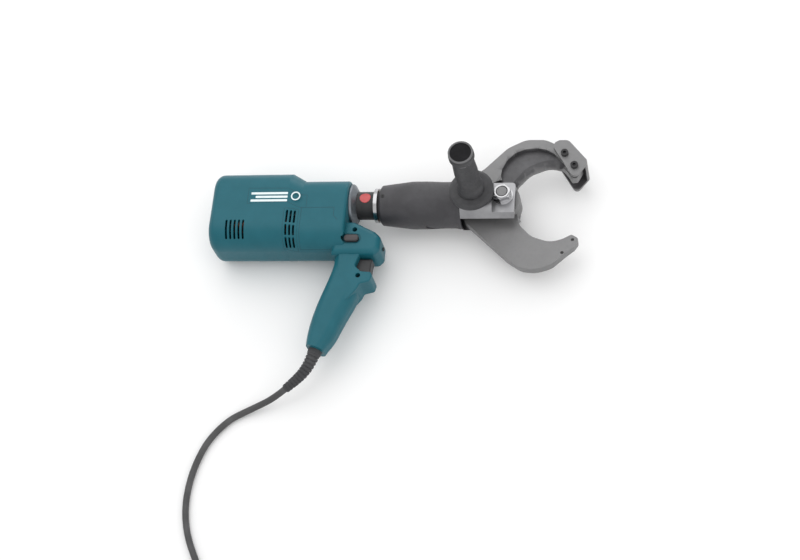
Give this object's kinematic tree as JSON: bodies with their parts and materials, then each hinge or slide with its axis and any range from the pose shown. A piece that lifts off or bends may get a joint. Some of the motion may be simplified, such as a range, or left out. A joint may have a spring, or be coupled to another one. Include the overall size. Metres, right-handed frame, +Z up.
{
  "type": "electric hydraulic cable cutter",
  "caption": "Corded electro-hydraulic cutter: motor housing with pistol grip, swivelling hydraulic head, side handle and two hook-shaped shearing jaws",
  "frame": {"origin": "below the middle of the tool without its cord, on the surface that it lies on", "axes": "+X runs along the neck from the motor to the jaws, -Y is the way the pistol grip points, +Z is up and the way the side handle points; the tool lies on the flat of its housing and on the head of its pivot bolt"},
  "size_m": [0.47, 0.6832, 0.1674],
  "materials": {
    "moulded_teal": "moulded glass-filled nylon, fine texture",
    "black_plastic": "moulded plastic",
    "soft_rubber": "matt rubber",
    "cord_rubber": "rubber cord sheath",
    "cast_sleeve": "dark grey grained sleeve",
    "black_paint": "black painted steel",
    "blackened_steel": "blackened tool steel, ground edges",
    "machined_steel": "machined steel",
    "chrome": "bright plated steel",
    "aluminium": "die-cast aluminium",
    "copper": "enamelled copper winding",
    "laminated_steel": "laminated electrical steel",
    "carbon": "carbon",
    "badge_red": "gloss printed badge",
    "bronze": "sintered bronze",
    "brass": "nickel-plated brass"
  },
  "bodies": {
    "motor_unit": {"armature_front_bearing": "machined_steel", "armature_rear_bearing": "machined_steel", "bearing_plate": "aluminium", "brush_holders": "brass", "brush_springs": "machined_steel", "carbon_brushes": "carbon", "cord_coil": "cord_rubber", "cord_tie": "black_plastic", "field_coils": "copper", "gear_case": "aluminium", "gear_shaft_front_bearing": "machined_steel", "gear_shaft_rear_bearing": "machined_steel", "housing_lower_shell": "moulded_teal", "housing_screws": "black_paint", "housing_upper_shell": "moulded_teal", "neck_badge": "badge_red", "neck_snap_ring": "chrome", "neck_tube": "black_paint", "plug_body": "soft_rubber", "plug_lead": "cord_rubber", "plug_pins": "brass", "power_cord": "cord_rubber", "stator_core": "laminated_steel", "strain_relief": "soft_rubber", "switch_body": "black_plastic", "trigger_spring": "machined_steel"},
    "armature": {"armature_core": "laminated_steel", "armature_winding": "copper", "armature_shaft": "machined_steel", "commutator": "copper", "cooling_fan": "black_plastic"},
    "gear_shaft": {"drive_gear": "machined_steel", "drive_shaft": "machined_steel"},
    "trigger_lever": {"trigger": "black_plastic"},
    "button": {"changeover_button": "black_plastic"},
    "head": {"head_sleeve": "cast_sleeve", "swivel_bush": "bronze", "pump_block": "aluminium", "pump_plunger": "machined_steel", "plunger_plug": "machined_steel", "head_bearing": "machined_steel", "cylinder_body": "machined_steel", "yoke": "machined_steel", "pivot_bolt": "machined_steel", "pivot_washers": "chrome", "pivot_nut": "chrome", "handle_flange": "soft_rubber", "handle_stud": "machined_steel", "handle_grip": "soft_rubber", "handle_ring": "chrome", "handle_cap": "soft_rubber", "oil_screw": "black_paint"},
    "ram_unit": {"ram": "machined_steel", "ram_seal": "soft_rubber", "ram_roller": "machined_steel", "roller_pin": "machined_steel"},
    "upper_blade": {"upper_jaw": "blackened_steel", "blade_guide": "blackened_steel", "guide_screws": "black_paint"},
    "lower_blade": {"lower_jaw": "blackened_steel"}
  },
  "joints": [
    {"name": "armature_spin", "type": "hinge", "parent": "motor_unit", "child": "armature", "pos_m": [-0.16372, 0.03714, 0.038], "axis": [1, 0, 0], "continuous": true},
    {"name": "gear_shaft_spin", "type": "hinge", "parent": "motor_unit", "child": "gear_shaft", "pos_m": [-0.09872, 0.06014, 0.038], "axis": [1, 0, 0], "continuous": true},
    {"name": "trigger_pull", "type": "slide", "parent": "motor_unit", "child": "trigger_lever", "axis": [-1, 0, 0], "range_m": [0, 0.006], "stiffness_N_per_m": 900, "springref_m": -0.004},
    {"name": "changeover_slide", "type": "slide", "parent": "motor_unit", "child": "button", "axis": [0, 0, 1], "range_m": [-0.0025, 0.0025]},
    {"name": "head_swivel", "type": "hinge", "parent": "motor_unit", "child": "head", "pos_m": [-0.01372, 0.06014, 0.038], "axis": [1, 0, 0], "range_deg": [-90, 90]},
    {"name": "lower_jaw_turn", "type": "hinge", "parent": "head", "child": "lower_blade", "pos_m": [0.13278, 0.06014, 0.038], "axis": [0, 0, 1], "range_deg": [0, 40]},
    {"name": "upper_jaw_turn", "type": "hinge", "parent": "head", "child": "upper_blade", "pos_m": [0.13278, 0.06014, 0.038], "axis": [0, 0, 1], "range_deg": [-40, 0]},
    {"name": "ram_slide", "type": "slide", "parent": "head", "child": "ram_unit", "axis": [1, 0, 0], "range_m": [0, 0.03]}
  ],
  "couplings": [
    {"joint": "gear_shaft_spin", "follows": "armature_spin", "ratio": -0.35294},
    {"joint": "upper_jaw_turn", "follows": "lower_jaw_turn", "ratio": -1},
    {"joint": "ram_slide", "follows": "lower_jaw_turn", "m_per_rad": 0.042972}
  ]
}
